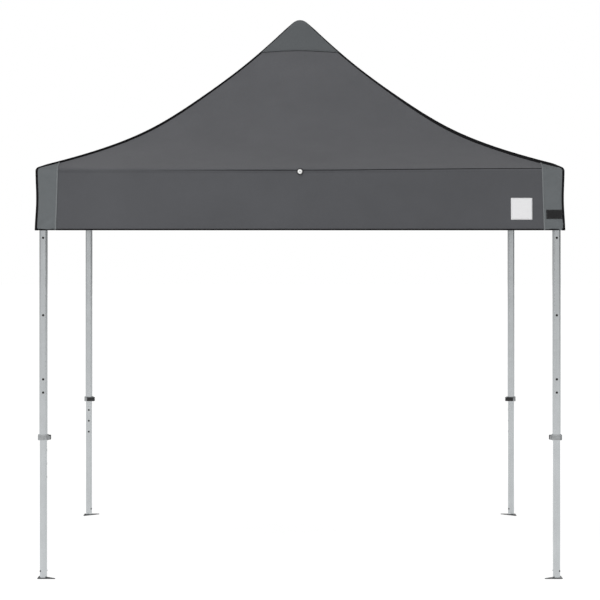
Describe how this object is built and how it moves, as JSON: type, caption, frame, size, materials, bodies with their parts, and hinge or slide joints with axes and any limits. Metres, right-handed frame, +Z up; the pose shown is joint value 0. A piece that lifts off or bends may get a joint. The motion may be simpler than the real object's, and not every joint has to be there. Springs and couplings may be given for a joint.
{
  "type": "folding canopy tent",
  "caption": "Square pop-up canopy tent: hip-roofed fabric top with a valance on a folding scissor frame, with telescoping square legs and triangular foot plates.",
  "frame": {"origin": "on the ground, under the centre of the roof", "axes": "+Z up along the mast; +Y from the front side to the back side, +X to the right seen from the front"},
  "size_m": [3.05, 3.05, 3.3332],
  "materials": {
    "canopy_fabric": "matte",
    "leg_metal": "satin",
    "bar_metal": "satin",
    "mast_metal": "satin",
    "grey_plastic": "satin",
    "black_plastic": "satin",
    "foot_metal": "satin",
    "piping": "matte",
    "patch_fabric": "matte",
    "white_plastic": "gloss"
  },
  "bodies": {
    "upper_hub": {"upper_hub": "grey_plastic", "canopy": "canopy_fabric"},
    "cross_bar_falling_front": {"cross_bar_falling_front": "bar_metal"},
    "cross_bar_rising_front": {"cross_bar_rising_front": "bar_metal"},
    "mid_bracket_upper_front": {"mid_bracket_upper_front": "grey_plastic"},
    "mid_bracket_lower_front": {"mid_bracket_lower_front": "grey_plastic"},
    "lower_hub": {"lower_hub": "mast_metal"},
    "mast_top": {"mast_top": "mast_metal"},
    "side_bar_falling_right_front": {"side_bar_falling_right_front": "bar_metal"},
    "side_bar_rising_right_front": {"side_bar_rising_right_front": "bar_metal"},
    "side_bar_falling_left_front": {"side_bar_falling_left_front": "bar_metal"},
    "side_bar_rising_left_front": {"side_bar_rising_left_front": "bar_metal"},
    "cross_bar_falling_right": {"cross_bar_falling_right": "bar_metal"},
    "cross_bar_rising_right": {"cross_bar_rising_right": "bar_metal"},
    "mid_bracket_upper_right": {"mid_bracket_upper_right": "grey_plastic"},
    "mid_bracket_lower_right": {"mid_bracket_lower_right": "grey_plastic"},
    "side_bar_falling_right_right": {"side_bar_falling_right_right": "bar_metal"},
    "side_bar_rising_right_right": {"side_bar_rising_right_right": "bar_metal"},
    "side_bar_falling_left_right": {"side_bar_falling_left_right": "bar_metal"},
    "side_bar_rising_left_right": {"side_bar_rising_left_right": "bar_metal"},
    "cross_bar_falling_back": {"cross_bar_falling_back": "bar_metal"},
    "cross_bar_rising_back": {"cross_bar_rising_back": "bar_metal"},
    "mid_bracket_upper_back": {"mid_bracket_upper_back": "grey_plastic"},
    "mid_bracket_lower_back": {"mid_bracket_lower_back": "grey_plastic"},
    "side_bar_falling_right_back": {"side_bar_falling_right_back": "bar_metal"},
    "side_bar_rising_right_back": {"side_bar_rising_right_back": "bar_metal"},
    "side_bar_falling_left_back": {"side_bar_falling_left_back": "bar_metal"},
    "side_bar_rising_left_back": {"side_bar_rising_left_back": "bar_metal"},
    "cross_bar_falling_left": {"cross_bar_falling_left": "bar_metal"},
    "cross_bar_rising_left": {"cross_bar_rising_left": "bar_metal"},
    "mid_bracket_upper_left": {"mid_bracket_upper_left": "grey_plastic"},
    "mid_bracket_lower_left": {"mid_bracket_lower_left": "grey_plastic"},
    "side_bar_falling_right_left": {"side_bar_falling_right_left": "bar_metal"},
    "side_bar_rising_right_left": {"side_bar_rising_right_left": "bar_metal"},
    "side_bar_falling_left_left": {"side_bar_falling_left_left": "bar_metal"},
    "side_bar_rising_left_left": {"side_bar_rising_left_left": "bar_metal"},
    "outer_leg_front_right": {"outer_leg_front_right": "leg_metal"},
    "inner_leg_front_right": {"inner_leg_front_right": "leg_metal", "foot_plate_front_right": "foot_metal"},
    "slider_front_right": {"slider_front_right": "grey_plastic"},
    "slider_pin_front_right": {"slider_pin_front_right": "black_plastic"},
    "adjuster_latch_front_right": {"adjuster_latch_front_right": "black_plastic"},
    "outer_leg_back_right": {"outer_leg_back_right": "leg_metal"},
    "inner_leg_back_right": {"inner_leg_back_right": "leg_metal", "foot_plate_back_right": "foot_metal"},
    "slider_back_right": {"slider_back_right": "grey_plastic"},
    "slider_pin_back_right": {"slider_pin_back_right": "black_plastic"},
    "adjuster_latch_back_right": {"adjuster_latch_back_right": "black_plastic"},
    "outer_leg_back_left": {"outer_leg_back_left": "leg_metal"},
    "inner_leg_back_left": {"inner_leg_back_left": "leg_metal", "foot_plate_back_left": "foot_metal"},
    "slider_back_left": {"slider_back_left": "grey_plastic"},
    "slider_pin_back_left": {"slider_pin_back_left": "black_plastic"},
    "adjuster_latch_back_left": {"adjuster_latch_back_left": "black_plastic"},
    "outer_leg_front_left": {"outer_leg_front_left": "leg_metal"},
    "inner_leg_front_left": {"inner_leg_front_left": "leg_metal", "foot_plate_front_left": "foot_metal"},
    "slider_front_left": {"slider_front_left": "grey_plastic"},
    "slider_pin_front_left": {"slider_pin_front_left": "black_plastic"},
    "adjuster_latch_front_left": {"adjuster_latch_front_left": "black_plastic"}
  },
  "joints": [
    {"name": "fold", "type": "hinge", "parent": "upper_hub", "child": "cross_bar_falling_front", "pos_m": [0, -0.038, 2.3], "axis": [1, 0, 0], "range_deg": [0, 76], "deforming": ["canopy"]},
    {"name": "cross_scissor_front", "type": "hinge", "parent": "cross_bar_falling_front", "child": "cross_bar_rising_front", "pos_m": [0, -0.7385, 2.16], "axis": [1, 0, 0], "range_deg": [-152, 0]},
    {"name": "upper_bracket_pivot_front", "type": "hinge", "parent": "cross_bar_rising_front", "child": "mid_bracket_upper_front", "pos_m": [0, -1.439, 2.3], "axis": [1, 0, 0], "range_deg": [0, 76]},
    {"name": "lower_bracket_pivot_front", "type": "hinge", "parent": "cross_bar_falling_front", "child": "mid_bracket_lower_front", "pos_m": [0, -1.439, 2.02], "axis": [1, 0, 0], "range_deg": [-76, 0]},
    {"name": "lower_hub_pivot", "type": "hinge", "parent": "cross_bar_rising_front", "child": "lower_hub", "pos_m": [0, -0.038, 2.02], "axis": [1, 0, 0], "range_deg": [0, 76]},
    {"name": "mast_slide", "type": "slide", "parent": "lower_hub", "child": "mast_top", "axis": [0, 0, 1], "range_m": [0, 0.24]},
    {"name": "side_pivot_right_front", "type": "hinge", "parent": "mid_bracket_upper_front", "child": "side_bar_falling_right_front", "pos_m": [0.026, -1.475, 2.3], "axis": [0, 1, 0], "range_deg": [0, 76]},
    {"name": "side_scissor_right_front", "type": "hinge", "parent": "side_bar_falling_right_front", "child": "side_bar_rising_right_front", "pos_m": [0.7265, -1.475, 2.16], "axis": [0, 1, 0], "range_deg": [-152, 0]},
    {"name": "side_pivot_left_front", "type": "hinge", "parent": "mid_bracket_upper_front", "child": "side_bar_falling_left_front", "pos_m": [-0.026, -1.475, 2.3], "axis": [0, -1, 0], "range_deg": [0, 76]},
    {"name": "side_scissor_left_front", "type": "hinge", "parent": "side_bar_falling_left_front", "child": "side_bar_rising_left_front", "pos_m": [-0.7265, -1.475, 2.16], "axis": [0, -1, 0], "range_deg": [-152, 0]},
    {"name": "fold_right", "type": "hinge", "parent": "upper_hub", "child": "cross_bar_falling_right", "pos_m": [0.038, 0, 2.3], "axis": [0, 1, 0], "range_deg": [0, 76]},
    {"name": "cross_scissor_right", "type": "hinge", "parent": "cross_bar_falling_right", "child": "cross_bar_rising_right", "pos_m": [0.7385, 0, 2.16], "axis": [0, 1, 0], "range_deg": [-152, 0]},
    {"name": "upper_bracket_pivot_right", "type": "hinge", "parent": "cross_bar_rising_right", "child": "mid_bracket_upper_right", "pos_m": [1.439, 0, 2.3], "axis": [0, 1, 0], "range_deg": [0, 76]},
    {"name": "lower_bracket_pivot_right", "type": "hinge", "parent": "cross_bar_falling_right", "child": "mid_bracket_lower_right", "pos_m": [1.439, 0, 2.02], "axis": [0, 1, 0], "range_deg": [-76, 0]},
    {"name": "side_pivot_right_right", "type": "hinge", "parent": "mid_bracket_upper_right", "child": "side_bar_falling_right_right", "pos_m": [1.475, 0.026, 2.3], "axis": [-1, 0, 0], "range_deg": [0, 76]},
    {"name": "side_scissor_right_right", "type": "hinge", "parent": "side_bar_falling_right_right", "child": "side_bar_rising_right_right", "pos_m": [1.475, 0.7265, 2.16], "axis": [-1, 0, 0], "range_deg": [-152, 0]},
    {"name": "side_pivot_left_right", "type": "hinge", "parent": "mid_bracket_upper_right", "child": "side_bar_falling_left_right", "pos_m": [1.475, -0.026, 2.3], "axis": [1, 0, 0], "range_deg": [0, 76]},
    {"name": "side_scissor_left_right", "type": "hinge", "parent": "side_bar_falling_left_right", "child": "side_bar_rising_left_right", "pos_m": [1.475, -0.7265, 2.16], "axis": [1, 0, 0], "range_deg": [-152, 0]},
    {"name": "fold_back", "type": "hinge", "parent": "upper_hub", "child": "cross_bar_falling_back", "pos_m": [0, 0.038, 2.3], "axis": [-1, 0, 0], "range_deg": [0, 76]},
    {"name": "cross_scissor_back", "type": "hinge", "parent": "cross_bar_falling_back", "child": "cross_bar_rising_back", "pos_m": [0, 0.7385, 2.16], "axis": [-1, 0, 0], "range_deg": [-152, 0]},
    {"name": "upper_bracket_pivot_back", "type": "hinge", "parent": "cross_bar_rising_back", "child": "mid_bracket_upper_back", "pos_m": [0, 1.439, 2.3], "axis": [-1, 0, 0], "range_deg": [0, 76]},
    {"name": "lower_bracket_pivot_back", "type": "hinge", "parent": "cross_bar_falling_back", "child": "mid_bracket_lower_back", "pos_m": [0, 1.439, 2.02], "axis": [-1, 0, 0], "range_deg": [-76, 0]},
    {"name": "side_pivot_right_back", "type": "hinge", "parent": "mid_bracket_upper_back", "child": "side_bar_falling_right_back", "pos_m": [-0.026, 1.475, 2.3], "axis": [0, -1, 0], "range_deg": [0, 76]},
    {"name": "side_scissor_right_back", "type": "hinge", "parent": "side_bar_falling_right_back", "child": "side_bar_rising_right_back", "pos_m": [-0.7265, 1.475, 2.16], "axis": [0, -1, 0], "range_deg": [-152, 0]},
    {"name": "side_pivot_left_back", "type": "hinge", "parent": "mid_bracket_upper_back", "child": "side_bar_falling_left_back", "pos_m": [0.026, 1.475, 2.3], "axis": [0, 1, 0], "range_deg": [0, 76]},
    {"name": "side_scissor_left_back", "type": "hinge", "parent": "side_bar_falling_left_back", "child": "side_bar_rising_left_back", "pos_m": [0.7265, 1.475, 2.16], "axis": [0, 1, 0], "range_deg": [-152, 0]},
    {"name": "fold_left", "type": "hinge", "parent": "upper_hub", "child": "cross_bar_falling_left", "pos_m": [-0.038, 0, 2.3], "axis": [0, -1, 0], "range_deg": [0, 76]},
    {"name": "cross_scissor_left", "type": "hinge", "parent": "cross_bar_falling_left", "child": "cross_bar_rising_left", "pos_m": [-0.7385, 0, 2.16], "axis": [0, -1, 0], "range_deg": [-152, 0]},
    {"name": "upper_bracket_pivot_left", "type": "hinge", "parent": "cross_bar_rising_left", "child": "mid_bracket_upper_left", "pos_m": [-1.439, 0, 2.3], "axis": [0, -1, 0], "range_deg": [0, 76]},
    {"name": "lower_bracket_pivot_left", "type": "hinge", "parent": "cross_bar_falling_left", "child": "mid_bracket_lower_left", "pos_m": [-1.439, 0, 2.02], "axis": [0, -1, 0], "range_deg": [-76, 0]},
    {"name": "side_pivot_right_left", "type": "hinge", "parent": "mid_bracket_upper_left", "child": "side_bar_falling_right_left", "pos_m": [-1.475, -0.026, 2.3], "axis": [1, 0, 0], "range_deg": [0, 76]},
    {"name": "side_scissor_right_left", "type": "hinge", "parent": "side_bar_falling_right_left", "child": "side_bar_rising_right_left", "pos_m": [-1.475, -0.7265, 2.16], "axis": [1, 0, 0], "range_deg": [-152, 0]},
    {"name": "side_pivot_left_left", "type": "hinge", "parent": "mid_bracket_upper_left", "child": "side_bar_falling_left_left", "pos_m": [-1.475, 0.026, 2.3], "axis": [-1, 0, 0], "range_deg": [0, 76]},
    {"name": "side_scissor_left_left", "type": "hinge", "parent": "side_bar_falling_left_left", "child": "side_bar_rising_left_left", "pos_m": [-1.475, 0.7265, 2.16], "axis": [-1, 0, 0], "range_deg": [-152, 0]},
    {"name": "leg_pivot_front_right", "type": "hinge", "parent": "side_bar_rising_right_front", "child": "outer_leg_front_right", "pos_m": [1.427, -1.475, 2.3], "axis": [0, 1, 0], "range_deg": [0, 76]},
    {"name": "slider_pivot_front_right", "type": "hinge", "parent": "side_bar_falling_right_front", "child": "slider_front_right", "pos_m": [1.427, -1.475, 2.02], "axis": [0, 1, 0], "range_deg": [-76, 0]},
    {"name": "height_front_right", "type": "slide", "parent": "outer_leg_front_right", "child": "inner_leg_front_right", "axis": [0, 0, 1], "range_m": [0, 0.74]},
    {"name": "latch_front_right", "type": "slide", "parent": "outer_leg_front_right", "child": "adjuster_latch_front_right", "axis": [0, 1, 0], "range_m": [0, 0.008], "stiffness_N_per_m": 1200, "springref_m": -0.004},
    {"name": "pin_front_right", "type": "slide", "parent": "slider_front_right", "child": "slider_pin_front_right", "axis": [-0.7071, 0.7071, 0], "range_m": [0, 0.012], "stiffness_N_per_m": 800, "springref_m": -0.005},
    {"name": "leg_pivot_back_right", "type": "hinge", "parent": "side_bar_rising_right_right", "child": "outer_leg_back_right", "pos_m": [1.475, 1.427, 2.3], "axis": [-1, 0, 0], "range_deg": [0, 76]},
    {"name": "slider_pivot_back_right", "type": "hinge", "parent": "side_bar_falling_right_right", "child": "slider_back_right", "pos_m": [1.475, 1.427, 2.02], "axis": [-1, 0, 0], "range_deg": [-76, 0]},
    {"name": "height_back_right", "type": "slide", "parent": "outer_leg_back_right", "child": "inner_leg_back_right", "axis": [0, 0, 1], "range_m": [0, 0.74]},
    {"name": "latch_back_right", "type": "slide", "parent": "outer_leg_back_right", "child": "adjuster_latch_back_right", "axis": [-1, 0, 0], "range_m": [0, 0.008], "stiffness_N_per_m": 1200, "springref_m": -0.004},
    {"name": "pin_back_right", "type": "slide", "parent": "slider_back_right", "child": "slider_pin_back_right", "axis": [-0.7071, -0.7071, 0], "range_m": [0, 0.012], "stiffness_N_per_m": 800, "springref_m": -0.005},
    {"name": "leg_pivot_back_left", "type": "hinge", "parent": "side_bar_rising_right_back", "child": "outer_leg_back_left", "pos_m": [-1.427, 1.475, 2.3], "axis": [0, -1, 0], "range_deg": [0, 76]},
    {"name": "slider_pivot_back_left", "type": "hinge", "parent": "side_bar_falling_right_back", "child": "slider_back_left", "pos_m": [-1.427, 1.475, 2.02], "axis": [0, -1, 0], "range_deg": [-76, 0]},
    {"name": "height_back_left", "type": "slide", "parent": "outer_leg_back_left", "child": "inner_leg_back_left", "axis": [0, 0, 1], "range_m": [0, 0.74]},
    {"name": "latch_back_left", "type": "slide", "parent": "outer_leg_back_left", "child": "adjuster_latch_back_left", "axis": [0, -1, 0], "range_m": [0, 0.008], "stiffness_N_per_m": 1200, "springref_m": -0.004},
    {"name": "pin_back_left", "type": "slide", "parent": "slider_back_left", "child": "slider_pin_back_left", "axis": [0.7071, -0.7071, 0], "range_m": [0, 0.012], "stiffness_N_per_m": 800, "springref_m": -0.005},
    {"name": "leg_pivot_front_left", "type": "hinge", "parent": "side_bar_rising_right_left", "child": "outer_leg_front_left", "pos_m": [-1.475, -1.427, 2.3], "axis": [1, 0, 0], "range_deg": [0, 76]},
    {"name": "slider_pivot_front_left", "type": "hinge", "parent": "side_bar_falling_right_left", "child": "slider_front_left", "pos_m": [-1.475, -1.427, 2.02], "axis": [1, 0, 0], "range_deg": [-76, 0]},
    {"name": "height_front_left", "type": "slide", "parent": "outer_leg_front_left", "child": "inner_leg_front_left", "axis": [0, 0, 1], "range_m": [0, 0.74]},
    {"name": "latch_front_left", "type": "slide", "parent": "outer_leg_front_left", "child": "adjuster_latch_front_left", "axis": [1, 0, 0], "range_m": [0, 0.008], "stiffness_N_per_m": 1200, "springref_m": -0.004},
    {"name": "pin_front_left", "type": "slide", "parent": "slider_front_left", "child": "slider_pin_front_left", "axis": [0.7071, 0.7071, 0], "range_m": [0, 0.012], "stiffness_N_per_m": 800, "springref_m": -0.005}
  ],
  "couplings": [
    {"joint": "cross_scissor_front", "follows": "fold", "ratio": -2},
    {"joint": "upper_bracket_pivot_front", "follows": "fold", "ratio": 1},
    {"joint": "lower_bracket_pivot_front", "follows": "fold", "ratio": -1},
    {"joint": "lower_hub_pivot", "follows": "fold", "ratio": 1},
    {"joint": "mast_slide", "follows": "fold", "m_per_rad": 0.18093},
    {"joint": "side_pivot_right_front", "follows": "fold", "ratio": 1},
    {"joint": "side_scissor_right_front", "follows": "fold", "ratio": -2},
    {"joint": "side_pivot_left_front", "follows": "fold", "ratio": 1},
    {"joint": "side_scissor_left_front", "follows": "fold", "ratio": -2},
    {"joint": "fold_right", "follows": "fold", "ratio": 1},
    {"joint": "cross_scissor_right", "follows": "fold", "ratio": -2},
    {"joint": "upper_bracket_pivot_right", "follows": "fold", "ratio": 1},
    {"joint": "lower_bracket_pivot_right", "follows": "fold", "ratio": -1},
    {"joint": "side_pivot_right_right", "follows": "fold", "ratio": 1},
    {"joint": "side_scissor_right_right", "follows": "fold", "ratio": -2},
    {"joint": "side_pivot_left_right", "follows": "fold", "ratio": 1},
    {"joint": "side_scissor_left_right", "follows": "fold", "ratio": -2},
    {"joint": "fold_back", "follows": "fold", "ratio": 1},
    {"joint": "cross_scissor_back", "follows": "fold", "ratio": -2},
    {"joint": "upper_bracket_pivot_back", "follows": "fold", "ratio": 1},
    {"joint": "lower_bracket_pivot_back", "follows": "fold", "ratio": -1},
    {"joint": "side_pivot_right_back", "follows": "fold", "ratio": 1},
    {"joint": "side_scissor_right_back", "follows": "fold", "ratio": -2},
    {"joint": "side_pivot_left_back", "follows": "fold", "ratio": 1},
    {"joint": "side_scissor_left_back", "follows": "fold", "ratio": -2},
    {"joint": "fold_left", "follows": "fold", "ratio": 1},
    {"joint": "cross_scissor_left", "follows": "fold", "ratio": -2},
    {"joint": "upper_bracket_pivot_left", "follows": "fold", "ratio": 1},
    {"joint": "lower_bracket_pivot_left", "follows": "fold", "ratio": -1},
    {"joint": "side_pivot_right_left", "follows": "fold", "ratio": 1},
    {"joint": "side_scissor_right_left", "follows": "fold", "ratio": -2},
    {"joint": "side_pivot_left_left", "follows": "fold", "ratio": 1},
    {"joint": "side_scissor_left_left", "follows": "fold", "ratio": -2},
    {"joint": "leg_pivot_front_right", "follows": "fold", "ratio": 1},
    {"joint": "slider_pivot_front_right", "follows": "fold", "ratio": -1},
    {"joint": "leg_pivot_back_right", "follows": "fold", "ratio": 1},
    {"joint": "slider_pivot_back_right", "follows": "fold", "ratio": -1},
    {"joint": "leg_pivot_back_left", "follows": "fold", "ratio": 1},
    {"joint": "slider_pivot_back_left", "follows": "fold", "ratio": -1},
    {"joint": "leg_pivot_front_left", "follows": "fold", "ratio": 1},
    {"joint": "slider_pivot_front_left", "follows": "fold", "ratio": -1}
  ]
}
